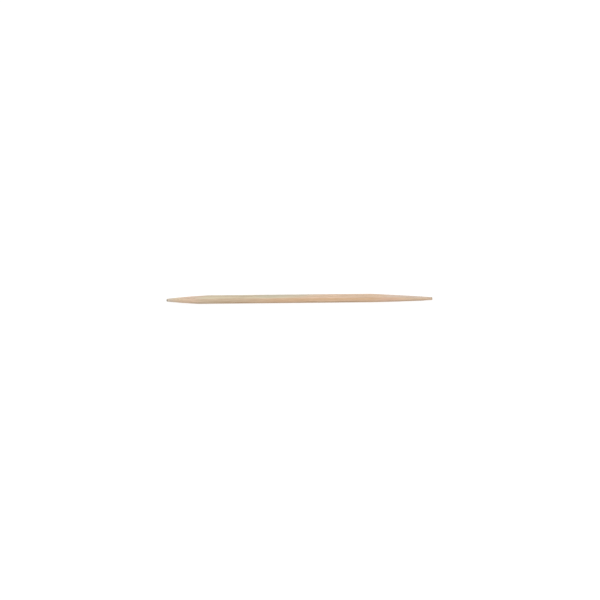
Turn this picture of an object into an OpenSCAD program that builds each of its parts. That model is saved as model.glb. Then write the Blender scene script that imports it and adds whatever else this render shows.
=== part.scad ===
// Round wooden toothpick, pointed at both ends and lying on its side.
// It is one stick of wood: a straight dowel with two narrow flats along it,
// sharpened at each end.
// Frame: +X runs from the short point to the long point, +Z is up, Z = 0 is
// the surface that it lies on, and the origin is midway between the two ends.
// All lengths are in millimetres.

/* [Dowel] */
// Length over both points
pick_l = 65; // [50:0.5:90]
// Diameter of the round dowel that the points are cut on
dowel_d = 2.1; // [1.6:0.05:3]
// Depth of the narrow flats along its top and underside, where the two
// half-round cutters that shape the dowel meet
flat_depth = 0.06; // [0.02:0.01:0.1]

/* [Short point] */
// Length of the point at -X, from its shoulder to its end
short_l = 9; // [6:0.1:14]
// Diameter of its blunt end
short_tip_d = 0.73; // [0.3:0.01:1.2]
// How far its side swells between end and shoulder (0 is a straight cone)
short_swell = 0.35; // [0:0.05:0.5]
// Distance by which its own axis lies off the dowel's, towards -Y
short_offset = 0.07; // [0:0.01:0.1]

/* [Long point] */
// Length of the point at +X, from its shoulder to its end
long_l = 15.2; // [9:0.1:20]
// Diameter of its blunt end
long_tip_d = 0.78; // [0.3:0.01:1.2]
// How far its side swells between end and shoulder (0 is a straight cone)
long_swell = 0.25; // [0:0.05:0.5]
// Angle in degrees by which it is sharpened off the dowel's axis, towards -Y
long_lean = 1.2; // [0:0.1:1.5]

/* [Ends] */
// Share of a blunt end's radius that is rounded over at its rim
rim_share = 0.3; // [0.1:0.05:0.9]

/* [Hidden] */

$fn = 96;
dowel_r = dowel_d / 2;
short_shoulder_x = -pick_l / 2 + short_l;
long_shoulder_x = pick_l / 2 - long_l;
// Conical bands that make up the side of a point, and its rounded rim
SIDE_BANDS = 14;
RIM_BANDS = 5;
// How far the cutter that shapes a point reaches back over the dowel along the
// point's own slope, before it opens out and clears the dowel
CUTTER_BACK = 3;

// Radius of a point at t, which is 0 at the rim of its end and 1 at its shoulder
function side_r(t, tip_r, swell) =
    tip_r + (dowel_r - tip_r) * (t + swell * t * (1 - t));

// Slope of that side at the shoulder, in mm of radius for each mm of length
function shoulder_slope(len, tip_r, swell) =
    (dowel_r - tip_r) * (1 - swell) / (len - tip_r * rim_share);

// Outline of a point as [radius, distance from its shoulder], from the
// shoulder out to the middle of its blunt end
function point_outline(len, tip_r, swell) =
    let (rim = tip_r * rim_share, side_l = len - rim)
    concat(
        [for (i = [0:SIDE_BANDS])
            let (t = 1 - i / SIDE_BANDS)
            [side_r(t, tip_r, swell), side_l * (1 - t)]],
        [for (i = [1:RIM_BANDS])
            let (a = 90 * i / RIM_BANDS)
            [tip_r - rim + rim * cos(a), side_l + rim * sin(a)]],
        [[0, len]]
    );

// The round dowel, a little over length, before its points are cut
module dowel() {
    rotate([0, 90, 0]) cylinder(r = dowel_r, h = pick_l + 4, center = true);
}

// Everything that the cutter leaves standing at a point, along +Z from that
// point's shoulder
module point_cut(len, tip_d, swell) {
    tip_r = tip_d / 2;
    slope = shoulder_slope(len, tip_r, swell);
    back_r = dowel_r + slope * CUTTER_BACK;
    rotate_extrude()
        polygon(concat(
            [[0, -pick_l], [back_r + 0.2 * (pick_l - CUTTER_BACK), -pick_l],
             [back_r, -CUTTER_BACK]],
            point_outline(len, tip_r, swell)
        ));
}

// The height that the two flats leave standing
module between_flats() {
    cube([pick_l + 4, dowel_d + 4, dowel_d - 2 * flat_depth], center = true);
}

// The whole stick: one piece of wood, with no joint anywhere in it. It lies on
// its lower flat.
module toothpick() {
    color([0.83, 0.73, 0.61])
        translate([0, 0, dowel_r - flat_depth])
            intersection() {
                dowel();
                translate([short_shoulder_x, -short_offset, 0])
                    rotate([0, -90, 0])
                        point_cut(short_l, short_tip_d, short_swell);
                translate([long_shoulder_x, 0, 0])
                    rotate([0, 0, -long_lean]) rotate([0, 90, 0])
                        point_cut(long_l, long_tip_d, long_swell);
                between_flats();
            }
}

toothpick();
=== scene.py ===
import math

import bpy
import numpy as np
from mathutils import Matrix, Vector


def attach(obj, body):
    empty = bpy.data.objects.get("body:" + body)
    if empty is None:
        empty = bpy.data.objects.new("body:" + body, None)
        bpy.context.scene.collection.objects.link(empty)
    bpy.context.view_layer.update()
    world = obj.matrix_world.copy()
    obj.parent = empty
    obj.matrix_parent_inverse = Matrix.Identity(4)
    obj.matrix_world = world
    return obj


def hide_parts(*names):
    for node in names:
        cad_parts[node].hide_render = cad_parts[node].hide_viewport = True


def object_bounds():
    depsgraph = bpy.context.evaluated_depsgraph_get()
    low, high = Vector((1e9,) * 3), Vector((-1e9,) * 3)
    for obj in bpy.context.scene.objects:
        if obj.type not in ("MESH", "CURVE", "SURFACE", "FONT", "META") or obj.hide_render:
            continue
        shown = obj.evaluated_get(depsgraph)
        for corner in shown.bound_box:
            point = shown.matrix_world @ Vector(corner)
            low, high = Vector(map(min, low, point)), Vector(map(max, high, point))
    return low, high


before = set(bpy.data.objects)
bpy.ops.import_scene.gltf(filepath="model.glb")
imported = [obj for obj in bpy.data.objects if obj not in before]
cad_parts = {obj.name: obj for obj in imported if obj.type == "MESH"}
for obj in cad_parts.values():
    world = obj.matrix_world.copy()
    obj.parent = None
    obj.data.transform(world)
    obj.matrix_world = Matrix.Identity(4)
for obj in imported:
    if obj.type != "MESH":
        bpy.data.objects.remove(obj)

cad_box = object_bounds()
scene = bpy.context.scene
MM = 0.001

# ---------------------------------------------------------------- camera
# A long lens looks down on the stick from the front. The stick rises a little
# to the right and lies just above the middle of the frame.
FRAME_PX = 600
PX_PER_MM = 4.090
CENTRE_PX = (299.44, 298.64)
LENS, SENSOR = 100.0, 36.0
ELEVATION = math.radians(70.0)
ROLL = math.radians(0.54)

lo, hi = cad_box
AXIS_Z = (lo.z + hi.z) / 2
px = MM / PX_PER_MM
distance = FRAME_PX * px / 2 / (SENSOR / 2 / LENS)
back = Vector((0, -math.cos(ELEVATION), math.sin(ELEVATION)))
up0 = Vector((0, math.sin(ELEVATION), math.cos(ELEVATION)))
right = Vector((1, 0, 0)) * math.cos(ROLL) - up0 * math.sin(ROLL)
up = Vector((1, 0, 0)) * math.sin(ROLL) + up0 * math.cos(ROLL)
target = (
    Vector((0, 0, AXIS_Z))
    + right * (FRAME_PX / 2 - CENTRE_PX[0]) * px
    - up * (FRAME_PX / 2 - CENTRE_PX[1]) * px
)
place = target + back * distance
cam_data = bpy.data.cameras.new("camera")
cam_data.lens, cam_data.sensor_width = LENS, SENSOR
cam_data.clip_start, cam_data.clip_end = 0.01, 20
cam = bpy.data.objects.new("camera", cam_data)
cam.matrix_world = Matrix(
    (
        (right.x, up.x, back.x, place.x),
        (right.y, up.y, back.y, place.y),
        (right.z, up.z, back.z, place.z),
        (0, 0, 0, 1),
    )
)
scene.collection.objects.link(cam)
scene.camera = cam
scene.view_settings.view_transform = "Standard"


# ---------------------------------------------------------------- seeded noise
def hashed(ix, iy, iz, seed):
    """A repeatable number from 0 to 1 for each lattice point."""
    with np.errstate(over="ignore"):
        h = (
            ix.astype(np.int64).astype(np.uint32) * np.uint32(374761393)
            + iy.astype(np.int64).astype(np.uint32) * np.uint32(668265263)
            + iz.astype(np.int64).astype(np.uint32) * np.uint32(2147483647)
            + np.uint32(seed * 144665 + 12345)
        )
        h = (h ^ (h >> np.uint32(13))) * np.uint32(1274126177)
        h = (h ^ (h >> np.uint32(16))) * np.uint32(2246822519)
        h = h ^ (h >> np.uint32(15))
    return h.astype(np.float64) / 4294967295.0


def noise(x, y, z, seed):
    """Smooth value noise from -1 to 1."""
    x, y, z = np.broadcast_arrays(x, y, z)
    ix, iy, iz = np.floor(x), np.floor(y), np.floor(z)
    fx, fy, fz = (
        f * f * f * (f * (f * 6 - 15) + 10) for f in (x - ix, y - iy, z - iz)
    )
    total = 0.0
    for a in (0, 1):
        for b in (0, 1):
            for c in (0, 1):
                w = (
                    (fx if a else 1 - fx)
                    * (fy if b else 1 - fy)
                    * (fz if c else 1 - fz)
                )
                total = total + w * hashed(ix + a, iy + b, iz + c, seed)
    return 2 * total - 1


def smoothstep(a, b, x):
    t = np.clip((x - a) / (b - a), 0, 1)
    return t * t * (3 - 2 * t)


def soft_min(a, b, k):
    """The smaller of two lengths, with the corner between them rounded inwards."""
    h = np.clip(0.5 + 0.5 * (b - a) / k, 0, 1)
    return b * (1 - h) + a * h - k * h * (1 - h)


# ---------------------------------------------------------------- outline
# All in millimetres here, with the axis at z = 0. The stick is a dowel with
# two flats and two points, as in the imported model, and the relief is cut into
# that outline.
HALF_L = 32.5
DOWEL_R = 1.05
FLAT_H = (hi.z - lo.z) / 2 / MM
RIM_SHARE = 0.3
SHORT_L, SHORT_TIP, SHORT_SWELL, SHORT_OFFSET = 9.0, 0.365, 0.35, 0.07
LONG_L, LONG_TIP, LONG_SWELL, LONG_LEAN = 15.2, 0.39, 0.25, math.radians(1.2)
SHORT_RIM, LONG_RIM = SHORT_TIP * RIM_SHARE, LONG_TIP * RIM_SHARE
SHORT_CAP, LONG_CAP = SHORT_TIP - SHORT_RIM, LONG_TIP - LONG_RIM
SHORT_X, LONG_X = -HALF_L + SHORT_L, HALF_L - LONG_L
SHORT_END = -HALF_L
LONG_END = LONG_X + LONG_L * math.cos(LONG_LEAN)
COLS = 192
CAP_RINGS = COLS // 8


def point_r(s, length, tip, swell):
    """Radius of a point, s from its shoulder, up to the start of its rim. Behind the shoulder the cutter runs straight on."""
    t = 1 - s / (length - tip * RIM_SHARE)
    rise = np.where(t > 1, 1 + (1 - swell) * (t - 1), t + swell * t * (1 - t))
    return tip + (DOWEL_R - tip) * rise


# Rings from the short point's end to the long point's: place along the stick,
# and radius of the cutter that shaped the points
rim_a = np.radians(np.linspace(90, 0, 9))
N_RIM = len(rim_a)
ring_x = np.concatenate(
    [
        SHORT_END + SHORT_RIM * (1 - np.sin(rim_a)),
        np.linspace(SHORT_END + SHORT_RIM, SHORT_X, 98)[1:],
        np.linspace(SHORT_X, LONG_X, 224)[1:],
        np.linspace(LONG_X, LONG_END - LONG_RIM, 150)[1:],
        (LONG_END - LONG_RIM + LONG_RIM * np.sin(rim_a[::-1]))[1:],
    ]
)
RINGS = len(ring_x)
cutter_r = np.full(RINGS, 9.0)
m = ring_x < SHORT_X + 3
cutter_r[m] = point_r(SHORT_X - ring_x[m], SHORT_L, SHORT_TIP, SHORT_SWELL)
m = ring_x > LONG_X - 2
cutter_r[m] = point_r(ring_x[m] - LONG_X, LONG_L, LONG_TIP, LONG_SWELL)
cutter_r[:N_RIM] = SHORT_CAP + SHORT_RIM * np.cos(rim_a)
cutter_r[-N_RIM:] = LONG_CAP + LONG_RIM * np.cos(rim_a[::-1])

theta = np.arange(COLS) / COLS * 2 * np.pi - np.pi / 2  # starts underneath
X = np.repeat(ring_x[:, None], COLS, 1)
T = np.repeat(theta[None, :], RINGS, 0)
CY, CZ = np.cos(T), np.sin(T)  # outwards, in Y and Z

# The cutters' own axes, which lie off the dowel's, and the middles that the
# rings are drawn about, which go over from one to the other
cutter_y = np.where(X < 0, -SHORT_OFFSET, -(X - LONG_X) * math.tan(LONG_LEAN))
mid_y = np.where(
    X < 0,
    -SHORT_OFFSET * (1 - smoothstep(SHORT_X - 2.5, SHORT_X + 2.5, X)),
    -np.maximum(X - LONG_X, 0) * math.tan(LONG_LEAN),
)


def reach(r, axis_y):
    """Distance from a ring's middle out to a circle of radius r about another axis."""
    off = axis_y - mid_y
    return off * CY + np.sqrt(np.maximum(r**2 - (off * CZ) ** 2, 0))


# ---------------------------------------------------------------- wood inside
# Wood space runs along the fibres and two ways across them. The fibres leave
# the stick's axis by under a degree and wander a little.
def wood_space(x, y, z):
    v = y - 0.010 * x + 0.05 * np.sin(x / 11.0 + 0.6) + 0.02 * np.sin(x / 4.3 + 2.0)
    w = z + 0.007 * x + 0.05 * np.sin(x / 13.0 + 2.2) + 0.02 * np.sin(x / 5.1 + 0.4)
    return v, w


# Vessels: long fine tubes through the wood, walled off here and there
rng = np.random.RandomState(20)
N_VES = 420
ves_v, ves_w = rng.uniform(-1.75, 1.75, (2, N_VES))
ves_r = 0.018 + 0.025 * rng.uniform(0, 1, N_VES) ** 1.5
ves_wave = rng.uniform(0, 2 * np.pi, (2, N_VES))
ves_len = rng.uniform(7.0, 16.0, (2, N_VES))
ves_wall = rng.uniform(0, 60.0, N_VES)
ves_step = rng.uniform(1.3, 3.2, N_VES)


def vessel_offset(i, x, v, w):
    """How far a place is from the middle of a vessel, both ways across the fibres."""
    dv = v - ves_v[i] - 0.08 * np.sin(x / ves_len[0, i] + ves_wave[0, i])
    dw = w - ves_w[i] - 0.08 * np.sin(x / ves_len[1, i] + ves_wave[1, i])
    return dv, dw


def bundles(y, z, size, seed):
    """Cells across an end, one to a bundle of fibres: a number from 0 to 1 that the bundle shares, and how near a place is to the bundle's edge."""
    gy, gz = np.floor(y / size), np.floor(z / size)
    best, second = np.full(y.shape, 9.0), np.full(y.shape, 9.0)
    mine = np.zeros(y.shape)
    for a in (-1, 0, 1):
        for b in (-1, 0, 1):
            cy, cz = gy + a, gz + b
            zero = np.zeros_like(cy)
            py = (cy + 0.15 + 0.7 * hashed(cy, cz, zero, seed)) * size
            pz = (cz + 0.15 + 0.7 * hashed(cy, cz, zero + 1, seed)) * size
            d = np.hypot(y - py, z - pz) / size
            nearer = d < best
            second = np.where(nearer, best, np.minimum(second, d))
            mine = np.where(nearer, hashed(cy, cz, zero + 2, seed), mine)
            best = np.where(nearer, d, best)
    return mine, 1 - smoothstep(0.0, 0.25, second - best)


def end_wood(x, y, z, seed):
    """An end of the stick: how deep each place lies behind the end, and how open the wood is there. Bundles of fibres broke off at slightly different lengths, thin rays run across the growth rings, and vessels lie open between."""
    v, w = wood_space(x, y, z)
    big = bundles(v, w, 0.170, seed)[0]
    small, small_edge = bundles(v, w, 0.046, seed + 5)
    swell = noise(v * 4.0, w * 4.0, 0 * v, seed + 9)
    out, side = 0.94 * v + 0.34 * w, 0.94 * w - 0.34 * v
    ray = noise(side * 10.0, out * 1.4, 0 * v, seed + 11)
    ray = 1 - smoothstep(0.0, 0.16, np.abs(ray))
    hole = np.zeros_like(y)
    for i in range(N_VES):
        dv, dw = vessel_offset(i, x, v, w)
        hole = np.maximum(hole, 1 - smoothstep(0.6, 1.05, np.hypot(dv, dw) / ves_r[i]))
    depth = 0.014 * big + 0.010 * (1 + swell) + 0.007 * small + 0.003 * small_edge + 0.003 * ray
    depth = depth + 0.045 * hole
    return depth, np.maximum(hole, 0.14 * small_edge + 0.22 * ray)


# ---------------------------------------------------------------- relief
base = np.minimum(DOWEL_R, cutter_r[:, None]) * np.ones_like(T)
V, W = wood_space(X, base * CY + mid_y, base * CZ)

lobes = 0.5 + 0.5 * noise(X / 13.0, 0.9 * CY + 3, 0.9 * CZ + 7, 3)  # out of round
ridge = noise(X / 9.0, V * 3.6, W * 3.6, 11)  # raised grain, coarse to fine
grain = noise(X / 3.6, V * 8.0, W * 8.0, 12)
fine = noise(X / 1.7, V * 14.0, W * 14.0, 13)

pore = np.zeros_like(X)
for i in range(N_VES):
    dv, dw = vessel_offset(i, X, V, W)
    dn, dt = dv * CY + dw * CZ, dw * CY - dv * CZ
    wall = np.sqrt(np.maximum(ves_r[i] ** 2 - dt**2, 0))
    depth = np.where(dn**2 + dt**2 < ves_r[i] ** 2, dn + wall, 0)
    open_here = smoothstep(-0.2, 0.3, np.sin(X / ves_step[i] + ves_wall[i]) + 0.25)
    pore = np.maximum(pore, np.clip(depth, 0, 0.045) * open_here)

# The points were ground across the grain: faint rings, and fibres that stand up
# and tear more towards the end, where the cut runs into them
along = np.where(X < 0, SHORT_X - X, X - LONG_X)
share = np.clip(along / np.where(X < 0, SHORT_L, LONG_L), 0, 1)
scratch = noise(X * 5.5 + 0.8 * CY, 1.3 * CY + 5, 1.3 * CZ, 31)
wobble = noise(X / 2.6, 1.1 * CY + 9, 1.1 * CZ, 32)
hair = smoothstep(0.45, 0.9, noise(X * 0.9, V * 11.0, W * 11.0, 33))
torn = smoothstep(0.45, 0.9, noise(X * 0.7, V * 6.0, W * 6.0, 34))
uneven = noise(X / 1.8, 2.1 * CY + 2, 2.1 * CZ, 35)

dowel_cut = (
    0.010 * lobes
    + 0.0040 * (1 + ridge)
    + 0.0025 * (1 + grain)
    + 0.0010 * (1 + fine)
)
point_cut = (
    0.006 * (1 + wobble)
    + 0.0015 * (1 + scratch)
    + (0.0020 + 0.0020 * share) * (1 + grain)
    + 0.0010 * (1 + fine)
    + 0.012 * share * torn
    + 0.006 * share**3 * (1 + uneven)
    - 0.008 * (0.4 + share) * hair
)
flat_r = FLAT_H / np.maximum(np.abs(CZ), 1e-3)
round_r = reach(DOWEL_R, 0.0)
shank_r = soft_min(round_r, flat_r, 0.02) - dowel_cut
taper_r = reach(cutter_r[:, None], cutter_y) - point_cut
radius = soft_min(shank_r, taper_r, 0.012)
cut_here = smoothstep(-0.012, 0.012, shank_r - taper_r)
radius = radius - np.minimum(pore * (1 - 0.4 * cut_here), 0.022)
# A sliver of wood is gone from the front of the long point's end
radius = radius - 0.035 * smoothstep(30.3, 31.0, X) * smoothstep(0.30, 0.90, -0.94 * CY - 0.34 * CZ)
radius = np.maximum(np.minimum(radius, np.minimum(round_r, flat_r)), 0.05)

# The two rims go back with the ends that they run into
near_end = np.zeros_like(X)
near_end[:N_RIM] = np.sin(rim_a)[:, None]
near_end[-N_RIM:] = np.sin(rim_a[::-1])[:, None]
PY, PZ = radius * CY + mid_y, radius * CZ
PX = X.copy()
rim_open = np.zeros_like(X)
for rows, side, seed in ((slice(0, N_RIM), 1, 41), (slice(RINGS - N_RIM, RINGS), -1, 47)):
    depth, rim_open[rows] = end_wood(X[rows], PY[rows], PZ[rows], seed)
    PX[rows] += side * near_end[rows] * depth

# How far each place is from the nearer end, and how dark the stain on that end
# is: heaviest on the side that faces up and forwards, where it runs back from
# the end in a narrow tongue
to_end = np.where(X < 0, X - SHORT_END, LONG_END - X)
soak = 0.05 * noise(X * 1.5, V * 14.0, W * 14.0, 51)
STAIN_WAY = {"short": (-0.53, 0.85), "long": (-0.31, 0.95)}
facing = np.where(X < 0, *(STAIN_WAY[q][0] * CY + STAIN_WAY[q][1] * CZ for q in ("short", "long")))
facing = smoothstep(0.72, 1.0, facing)
stained = (1 - smoothstep(0.14, 0.40, to_end + soak)) * (0.10 + 0.16 * near_end**2 + (0.84 - 0.14 * near_end**2) * facing)

# ---------------------------------------------------------------- mesh
# Side: one grid. Ends: a square grid bent to a disc that shares the last ring.
grid = np.arange(RINGS * COLS).reshape(RINGS, COLS)
a, b = grid[:-1], grid[1:]
faces = np.stack([a, np.roll(a, -1, 1), np.roll(b, -1, 1), b], 2).reshape(-1, 4).tolist()
verts = [np.stack([PX.ravel(), PY.ravel(), PZ.ravel()], 1)]
attrs = {
    "end": [to_end.ravel()],
    "stain": [stained.ravel()],
    "pore": [np.maximum(np.clip(pore / 0.03, 0, 1) * (1 - 0.3 * cut_here), rim_open * near_end).ravel()],
    "cut": [cut_here.ravel()],
    "face": [near_end.ravel()],
}
fibre = [np.stack([X.ravel(), *(q.ravel() for q in wood_space(X, PY, PZ))], 1)]

# Map for baking: the side in three strips, and the two ends beside each other
# above them
STRIP_H, GAP, CAP_SCALE = 0.289, 0.012, 0.085
CAP_MID = {"short": (0.06, 0.951), "long": (0.18, 0.951)}
x_first, x_last = ring_x[N_RIM - 1], ring_x[RINGS - N_RIM]
strip = np.clip(np.searchsorted(np.linspace(x_first, x_last, 4), ring_x[:-1] + 1e-9) - 1, 0, 2)
on_side = np.zeros(RINGS - 1, bool)
on_side[N_RIM - 1 : RINGS - N_RIM] = True
s_lo = np.array([ring_x[:-1][on_side & (strip == k)].min() for k in range(3)])[strip]
s_hi = np.array([ring_x[1:][on_side & (strip == k)].max() for k in range(3)])[strip]
u0, u1 = (0.004 + 0.992 * (q - s_lo) / (s_hi - s_lo) for q in (ring_x[:-1], ring_x[1:]))
v_base = (GAP + strip * (STRIP_H + GAP))[:, None]
v0 = v_base + STRIP_H * (1 - np.arange(COLS)[None, :] / COLS)
v1 = v_base + STRIP_H * (1 - (np.arange(COLS)[None, :] + 1) / COLS)
U0, U1 = (np.repeat(q[:, None], COLS, 1) for q in (u0, u1))
side_uv = np.stack([np.stack(p, 2) for p in ((U0, v0), (U0, v1), (U1, v1), (U1, v0))], 2)


def cap_uv(which, dist, ang):
    """Place on the map at a distance over the surface from the middle of an end."""
    cu, cv = CAP_MID[which]
    hand = -1 if which == "short" else 1
    return np.stack(
        [cu + hand * CAP_SCALE * dist * np.cos(ang), cv + CAP_SCALE * dist * np.sin(ang)], -1
    )


short_d = SHORT_CAP + SHORT_RIM * (np.pi / 2 - rim_a)
long_d = LONG_CAP + LONG_RIM * (np.pi / 2 - rim_a)
for i in range(N_RIM - 1):
    for row, d0, d1, which in (
        (i, short_d[i], short_d[i + 1], "short"),
        (RINGS - 2 - i, long_d[i + 1], long_d[i], "long"),
    ):
        t0, t1 = theta, theta + 2 * np.pi / COLS
        side_uv[row] = np.stack(
            [cap_uv(which, d, t) for d, t in ((d0, t0), (d0, t1), (d1, t1), (d1, t0))], 1
        )
uvs = [side_uv.reshape(-1, 2)]

n_verts = RINGS * COLS
for which, row, side, seed, cap_r in (
    ("short", 0, 1, 41, SHORT_CAP),
    ("long", RINGS - 1, -1, 47, LONG_CAP),
):
    n = CAP_RINGS
    ia, ib = np.meshgrid(np.arange(-n, n + 1), np.arange(-n, n + 1), indexing="ij")
    step = np.maximum(abs(ia), abs(ib))
    # steps along the square ring, counted from the one that starts underneath
    turn = np.select(
        [(ib == -step), (ia == step), (ib == step)],
        [ia, 2 * step + ib, 4 * step - ia],
        6 * step - ib,
    )
    ang = theta[0] + 2 * np.pi * turn / np.maximum(8 * step, 1)
    inner = step < n
    index = np.where(inner, 0, grid[row][turn % COLS])
    index[inner] = n_verts + np.arange(inner.sum())
    r = np.interp(ang, theta, radius[row], period=2 * np.pi) * step / n
    y, z = r * np.cos(ang) + mid_y[row, 0], r * np.sin(ang)
    x0 = np.full_like(y, ring_x[row])
    depth, openness = end_wood(x0, y, z, seed)
    verts.append(np.stack([x0 + side * depth, y, z], 2)[inner])
    fibre.append(np.stack([x0, *wood_space(x0, y, z)], 2)[inner])
    way_y, way_z = STAIN_WAY[which]
    facing = smoothstep(0.72, 1.0, way_y * np.cos(ang) + way_z * np.sin(ang)) * smoothstep(0.2, 1.0, step / n)
    for name, q in (
        ("end", 0 * y),
        ("stain", 0.26 + 0.70 * facing),
        ("pore", openness),
        ("cut", 0 * y + 1),
        ("face", 0 * y + 1),
    ):
        attrs[name].append(q[inner])
    n_verts += int(inner.sum())
    corners = ((0, 0), (1, 0), (1, 1), (0, 1))
    if which == "short":
        corners = corners[::-1]
    cell = [(slice(p, 2 * n + p), slice(q, 2 * n + q)) for p, q in corners]
    faces += np.stack([index[c].ravel() for c in cell], 1).tolist()
    flat = cap_uv(which, cap_r * step / n, ang)
    uvs.append(np.stack([flat[c].reshape(-1, 2) for c in cell], 1).reshape(-1, 2))

points = np.concatenate(verts)
points[:, 2] += FLAT_H
mesh = bpy.data.meshes.new("toothpick_wood")
mesh.from_pydata((points * MM).tolist(), [], faces)
mesh.update()
mesh.uv_layers.new(name="OFBake").data.foreach_set(
    "uv", np.concatenate(uvs).astype(np.float32).ravel()
)
for name, rows in attrs.items():
    mesh.attributes.new(name, "FLOAT", "POINT").data.foreach_set(
        "value", np.concatenate(rows).astype(np.float32)
    )
mesh.attributes.new("fibre", "FLOAT_VECTOR", "POINT").data.foreach_set(
    "vector", np.concatenate(fibre).astype(np.float32).ravel()
)
mesh.polygons.foreach_set("use_smooth", np.ones(len(mesh.polygons), bool))
stick = bpy.data.objects.new("toothpick_wood", mesh)
scene.collection.objects.link(stick)

# ---------------------------------------------------------------- wood finish
wood = bpy.data.materials.new("birch_wood")
wood.use_nodes = True
nt = wood.node_tree
nt.nodes.clear()


def node(kind, **values):
    n = nt.nodes.new(kind)
    for k, v in values.items():
        setattr(n, k, v)
    return n


def link(a, b):
    nt.links.new(a, b)


fibre_at = node("ShaderNodeAttribute", attribute_name="fibre").outputs["Vector"]
fibre_xyz = node("ShaderNodeSeparateXYZ")
link(fibre_at, fibre_xyz.inputs[0])


def attribute(name):
    return node("ShaderNodeAttribute", attribute_name=name).outputs["Fac"]


def noise_tex(per_mm_along, per_mm_across, detail, rough, seed):
    """Noise drawn out along the fibres."""
    mp = node("ShaderNodeMapping")
    mp.inputs["Location"].default_value = (seed * 7.31, seed * 3.17, seed * 5.71)
    mp.inputs["Scale"].default_value = (per_mm_along, per_mm_across, per_mm_across)
    link(fibre_at, mp.inputs["Vector"])
    n = node("ShaderNodeTexNoise", noise_dimensions="3D")
    n.inputs["Scale"].default_value = 1.0
    n.inputs["Detail"].default_value = detail
    n.inputs["Roughness"].default_value = rough
    link(mp.outputs["Vector"], n.inputs["Vector"])
    return n.outputs["Fac"]


def remap(value, a, b, c, d, smooth=True):
    n = node("ShaderNodeMapRange", interpolation_type="SMOOTHSTEP" if smooth else "LINEAR")
    link(value, n.inputs["Value"])
    for k, x in zip(("From Min", "From Max", "To Min", "To Max"), (a, b, c, d)):
        n.inputs[k].default_value = x
    return n.outputs["Result"]


def calc(op, a, b):
    n = node("ShaderNodeMath", operation=op)
    for i, x in enumerate((a, b)):
        if isinstance(x, (int, float)):
            n.inputs[i].default_value = x
        else:
            link(x, n.inputs[i])
    return n.outputs[0]


def mix(fac, a, b):
    n = node("ShaderNodeMix", data_type="RGBA", blend_type="MIX")
    for socket, x in ((n.inputs["Factor"], fac), (n.inputs[6], a), (n.inputs[7], b)):
        if isinstance(x, tuple):
            socket.default_value = (*x, 1.0)
        else:
            link(x, socket)
    return n.outputs[2]


def across(way):
    """How far a place lies along a direction in the wood."""
    n = node("ShaderNodeVectorMath", operation="DOT_PRODUCT")
    link(fibre_at, n.inputs[0])
    n.inputs[1].default_value = way
    return n.outputs["Value"]


streak_wide = noise_tex(0.035, 1.3, 2.0, 0.5, 1)
streak_mid = noise_tex(0.09, 4.5, 3.0, 0.6, 2)
streak_fine = noise_tex(0.30, 15.0, 3.0, 0.65, 3)
line = noise_tex(0.16, 24.0, 1.0, 0.5, 4)
fleck = noise_tex(1.6, 22.0, 1.0, 0.5, 5)
ground = noise_tex(9.0, 2.2, 2.0, 0.6, 6)
patch = noise_tex(0.22, 0.9, 2.0, 0.5, 7)

# Growth rings lie nearly flat along the stick, facing up and back. Behind the
# first edge the wood is pale, and greyer at its far side, which fades out down
# the back; that grey top edge is partly the wood's tone, partly painted shade.
# Before the edge comes a season's later, warmer wood, then a paler stripe, and a
# dark band runs low along the front: partly a darker ring edge, partly painted
# shade on the side turned away from the light. Low at the back, the wood is a
# plain straw tone.
waver = calc("ADD", remap(streak_wide, 0.3, 0.7, -0.10, 0.10, False), remap(streak_fine, 0.3, 0.7, -0.04, 0.04, False))
ring_at = calc("ADD", across((0.008, 0.94, 0.34)), waver)
set_back = calc("MULTIPLY", remap(fibre_xyz.outputs["X"], -10.0, 0.0, 0.0, 0.09), remap(fibre_xyz.outputs["X"], 5.0, 13.0, 1.0, 0.3))
set_on = calc("MULTIPLY", remap(fibre_xyz.outputs["X"], -23.0, -20.0, 0.0, 0.05), remap(fibre_xyz.outputs["X"], -14.0, -11.0, 1.0, 0.0))
edge_at = calc("ADD", calc("SUBTRACT", ring_at, set_back), set_on)
behind_fac = remap(edge_at, 0.02, 0.24, 0.0, 1.0)
late = calc("MULTIPLY", remap(ring_at, -0.60, -0.15, 0.0, 1.0), remap(edge_at, 0.0, 0.18, 1.0, 0.0))
stripe = calc("MULTIPLY", remap(ring_at, -0.66, -0.52, 0.0, 1.0), remap(ring_at, -0.48, -0.32, 1.0, 0.0))
climb = calc("ADD", remap(fibre_xyz.outputs["X"], 17.0, 31.0, 0.0, 0.36), remap(fibre_xyz.outputs["X"], -24.0, -32.5, 0.0, 0.26))
# low: the dark band low along the front, partly painted shade
low = remap(calc("SUBTRACT", ring_at, climb), -0.88, -0.62, 1.0, 0.0)
low = calc("MULTIPLY", low, remap(calc("ADD", across((0.0, -0.50, -0.87)), waver), 0.84, 1.00, 1.0, 0.45))
down_back = remap(across((0.0, 0.34, -0.94)), -0.50, 0.05, 1.0, 0.15)
# far: greyer top edge, partly the wood's tone, partly painted shade
far = calc("MULTIPLY", remap(ring_at, 0.52, 0.82, 0.0, 1.0), down_back)
last = remap(calc("ADD", across((0.0, 0.80, -0.60)), waver), 0.62, 0.84, 0.0, 0.85)

# The tone drifts from straw at the short point to a rosier tan at the long one
drift_at = calc("ADD", fibre_xyz.outputs["X"], remap(streak_wide, 0.2, 0.8, -3.0, 3.0, False))
front = mix(remap(drift_at, -18.0, -2.0, 0.0, 1.0), (0.530, 0.424, 0.308), (0.605, 0.402, 0.264))
behind = mix(remap(drift_at, -6.0, 9.0, 0.0, 1.0), (0.585, 0.522, 0.382), (0.630, 0.466, 0.344))
colour = mix(behind_fac, front, behind)
colour = mix(calc("MULTIPLY", late, remap(drift_at, -12.0, 6.0, 0.10, 0.62)), colour, (0.600, 0.385, 0.222))
colour = mix(calc("MULTIPLY", stripe, remap(drift_at, -4.0, 7.0, 0.0, 0.58)), colour, (0.700, 0.500, 0.370))
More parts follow.
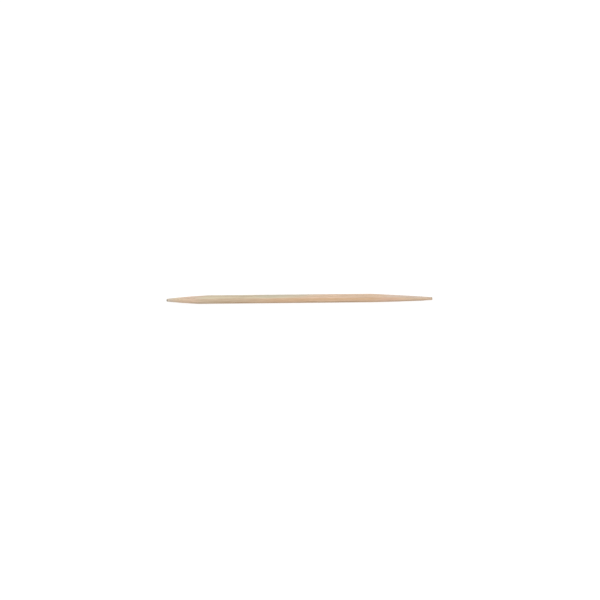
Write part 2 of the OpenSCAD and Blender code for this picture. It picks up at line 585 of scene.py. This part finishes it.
# Painted shade in part: the top edge darkened to olive-grey over the left half
colour = mix(calc("MULTIPLY", far, remap(drift_at, 1.0, 6.5, 0.76, 0.06)), colour, (0.455, 0.425, 0.340))
grey = calc("MULTIPLY", remap(drift_at, -11.0, -8.0, 0.0, 0.36), remap(drift_at, -4.5, -1.5, 1.0, 0.0))
grey = calc("MULTIPLY", grey, calc("MULTIPLY", remap(ring_at, 0.20, 0.60, 0.0, 1.0), down_back))
colour = mix(grey, colour, (0.360, 0.385, 0.310))
pale = calc("MULTIPLY", remap(drift_at, 1.0, 4.0, 0.0, 0.62), remap(drift_at, 9.0, 12.0, 1.0, 0.0))
pale = calc("MULTIPLY", pale, remap(ring_at, 0.52, 0.74, 1.0, 0.3))
colour = mix(calc("MULTIPLY", remap(ring_at, 0.16, 0.34, 0.0, 1.0), pale), colour, (0.764, 0.563, 0.424))
colour = mix(last, colour, (0.600, 0.468, 0.325))
# The ground points are a little paler, and rosier at their shoulders. The long
# one is ashen along its top.
cut = attribute("cut")
colour = mix(calc("MULTIPLY", cut, remap(patch, 0.3, 0.7, 0.08, 0.30)), colour, (0.620, 0.475, 0.365))
rosy_short = calc("MULTIPLY", remap(drift_at, -31.0, -28.0, 0.0, 0.60), remap(drift_at, -26.0, -23.5, 1.0, 0.0))
rosy_long = calc("MULTIPLY", remap(drift_at, 17.0, 20.0, 0.0, 0.34), remap(drift_at, 23.0, 27.0, 1.0, 0.0))
colour = mix(calc("ADD", rosy_short, rosy_long), colour, (0.665, 0.478, 0.364))
dusky = calc("MULTIPLY", remap(drift_at, -30.0, -27.5, 0.0, 0.35), remap(drift_at, -24.5, -21.5, 1.0, 0.0))
dusky = calc("MULTIPLY", dusky, calc("MULTIPLY", remap(ring_at, 0.02, 0.34, 0.0, 1.0), down_back))
colour = mix(dusky, colour, (0.480, 0.340, 0.320))
colour = mix(remap(fibre_xyz.outputs["X"], 22.0, 29.0, 0.0, 0.42), colour, (0.590, 0.490, 0.395))
ashen = calc("MULTIPLY", remap(calc("ADD", ring_at, climb), 0.12, 0.46, 0.0, 0.38), remap(fibre_xyz.outputs["X"], 19.0, 22.5, 0.0, 1.0))
colour = mix(calc("MULTIPLY", ashen, down_back), colour, (0.500, 0.465, 0.450))
# The front of the long shoulder is pinker, and low along that point it is browner
pink = calc("MULTIPLY", remap(fibre_xyz.outputs["X"], 18.5, 21.0, 0.0, 0.28), remap(fibre_xyz.outputs["X"], 22.5, 26.0, 1.0, 0.0))
colour = mix(calc("MULTIPLY", pink, remap(ring_at, -0.10, 0.25, 1.0, 0.0)), colour, (0.750, 0.430, 0.370))
brown = calc("MULTIPLY", remap(fibre_xyz.outputs["X"], 23.0, 28.0, 0.0, 0.46), remap(fibre_xyz.outputs["X"], 30.8, 31.5, 1.0, 0.0))
colour = mix(calc("MULTIPLY", brown, remap(calc("SUBTRACT", ring_at, climb), -0.80, -0.62, 1.0, 0.0)), colour, (0.600, 0.335, 0.215))


def streak_and_highlight_fac(from_x, to_x, from_ring, to_ring, most):
    """A single band along the fibres, faded out on all sides, used both for grain streaks and for painted highlights.
    """
    ends = calc("MULTIPLY", remap(fibre_xyz.outputs["X"], from_x, from_x + 1.6, 0.0, most), remap(fibre_xyz.outputs["X"], to_x - 1.6, to_x, 1.0, 0.0))
    sides = calc("MULTIPLY", remap(ring_at, from_ring, from_ring + 0.14, 0.0, 1.0), remap(ring_at, to_ring - 0.14, to_ring, 1.0, 0.0))
    return calc("MULTIPLY", ends, sides)


# A light streak is painted along the middle of each point as a highlight, and a
# dark streak lies low behind the short shoulder
# Painted highlights along the middle of the short and the long point
colour = mix(streak_and_highlight_fac(-31.4, -26.6, -0.34, 0.16, 0.28), colour, (0.767, 0.625, 0.457))
colour = mix(streak_and_highlight_fac(23.6, 31.2, -0.34, 0.10, 0.16), colour, (0.780, 0.580, 0.420))
colour = mix(streak_and_highlight_fac(-21.4, -15.4, -0.74, -0.42, 0.24), colour, (0.370, 0.240, 0.130))
# The dark band low along the front, partly painted shade, comes and goes along
# the stick, greyer in the middle, and fades out at both ends
wave = calc("SINE", calc("MULTIPLY", calc("ADD", fibre_xyz.outputs["X"], 17.5), 0.286), 0.0)
low = calc("MULTIPLY", low, remap(wave, -1.0, 1.0, 0.48, 0.70, False))
low = calc("MULTIPLY", low, remap(fibre_xyz.outputs["X"], -30.0, -26.0, 0.60, 1.0))
low = calc("MULTIPLY", low, remap(fibre_xyz.outputs["X"], 29.8, 31.4, 1.0, 0.0))
low_grey = calc("MULTIPLY", remap(fibre_xyz.outputs["X"], -8.0, -2.0, 0.0, 1.0), remap(fibre_xyz.outputs["X"], 12.0, 16.0, 1.0, 0.0))
colour = mix(low, colour, mix(low_grey, (0.360, 0.245, 0.154), (0.350, 0.258, 0.190)))
# Streaks, lines and flecks of the grain
colour = mix(remap(streak_mid, 0.36, 0.68, 0.0, 0.34), colour, (0.490, 0.345, 0.215))
colour = mix(remap(streak_fine, 0.46, 0.68, 0.0, 0.34), colour, (0.690, 0.560, 0.420))
colour = mix(remap(streak_fine, 0.52, 0.32, 0.0, 0.28), colour, (0.350, 0.230, 0.135))
colour = mix(remap(line, 0.60, 0.74, 0.0, 0.36), colour, (0.330, 0.215, 0.125))
colour = mix(remap(fleck, 0.66, 0.80, 0.0, 0.24), colour, (0.390, 0.265, 0.160))
# The open vessels are darkened: partly dirt in them, partly painted shade in the hollows
pore_fac = attribute("pore")
colour = mix(calc("MULTIPLY", pore_fac, 0.46), colour, (0.250, 0.155, 0.085))
# The ends are stained: grey at the short point, brown at the long one
near = attribute("end")
side_fac = remap(fibre_xyz.outputs["X"], -20.0, 20.0, 0.0, 1.0)
# Painted highlight: a paler grey-cream just behind the short end
colour = mix(remap(calc("ADD", near, calc("MULTIPLY", side_fac, 9.0)), 0.4, 2.6, 0.50, 0.0), colour, (0.515, 0.475, 0.420))
stain = mix(side_fac, (0.115, 0.102, 0.086), (0.265, 0.178, 0.118))
stain_fac = calc("MULTIPLY", attribute("stain"), remap(side_fac, 0.0, 1.0, 0.95, 0.74))
colour = mix(stain_fac, colour, stain)
# Partly dirt, partly painted shade: the open vessels and cracks on the end faces are darkened nearly to black
colour = mix(calc("MULTIPLY", calc("MULTIPLY", pore_fac, attribute("face")), 0.75), colour, (0.060, 0.045, 0.034))

rough = calc("ADD", remap(streak_mid, 0.3, 0.7, 0.60, 0.74, False), calc("MULTIPLY", pore_fac, 0.12))
height = calc("ADD", streak_fine, calc("MULTIPLY", calc("MULTIPLY", ground, cut), 0.8))
bump = node("ShaderNodeBump")
bump.inputs["Strength"].default_value = 0.6
bump.inputs["Distance"].default_value = 0.000012
link(height, bump.inputs["Height"])

bsdf = node("ShaderNodeBsdfPrincipled")
link(colour, bsdf.inputs["Base Color"])
link(rough, bsdf.inputs["Roughness"])
link(bump.outputs["Normal"], bsdf.inputs["Normal"])
bsdf.inputs["IOR"].default_value = 1.45
bsdf.inputs["Specular IOR Level"].default_value = 0.08
out = node("ShaderNodeOutputMaterial")
link(bsdf.outputs[0], out.inputs["Surface"])
mesh.materials.append(wood)

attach(stick, "root")
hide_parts("toothpick")

# ---------------------------------------------------------------- stage and light
# A white lit table that sweeps up into a low round wall
SEG = 96
outline = [(0.25, 0.0), (0.55, 0.0)]
outline += [
    (0.55 + 0.30 * math.sin(q), 0.30 - 0.30 * math.cos(q))
    for q in np.radians(np.linspace(8, 90, 12))
]
outline += [(0.85, 0.62)]
turns = [2 * math.pi * k / SEG for k in range(SEG)]
table_v = [(r * math.cos(q), r * math.sin(q), z) for r, z in outline for q in turns]
table_f = [list(range(SEG))]
for i in range(len(outline) - 1):
    for k in range(SEG):
        k2 = (k + 1) % SEG
        table_f.append([i * SEG + k, (i + 1) * SEG + k, (i + 1) * SEG + k2, i * SEG + k2])
table_mesh = bpy.data.meshes.new("table")
table_mesh.from_pydata(table_v, [], table_f)
table_mesh.update()
table_mesh.polygons.foreach_set("use_smooth", np.ones(len(table_mesh.polygons), bool))
table = bpy.data.objects.new("table", table_mesh)
scene.collection.objects.link(table)
white = bpy.data.materials.new("table_white")
white.use_nodes = True
tb = white.node_tree.nodes["Principled BSDF"]
tb.inputs["Base Color"].default_value = (0.16, 0.16, 0.16, 1)
tb.inputs["Roughness"].default_value = 0.9
tb.inputs["Specular IOR Level"].default_value = 0.1
tb.inputs["Emission Color"].default_value = (1, 1, 1, 1)
tb.inputs["Emission Strength"].default_value = 0.89
table_mesh.materials.append(white)

world = bpy.data.worlds.new("studio")
scene.world = world
world.use_nodes = True
bg = world.node_tree.nodes["Background"]
bg.inputs["Color"].default_value = (1, 1, 1, 1)
bg.inputs["Strength"].default_value = 0.10

# One wide soft light overhead, a little behind
key_data = bpy.data.lights.new("key", "AREA")
key_data.shape = "RECTANGLE"
key_data.size, key_data.size_y = 1.0, 0.8
key_data.energy = 9.1
key = bpy.data.objects.new("key", key_data)
key.location = (0.0, 0.12, 0.95)
key.rotation_mode = "QUATERNION"
key.rotation_quaternion = (-key.location).to_track_quat("-Z", "Y")
scene.collection.objects.link(key)

# ---------------------------------------------------------------- end
bpy.context.view_layer.update()
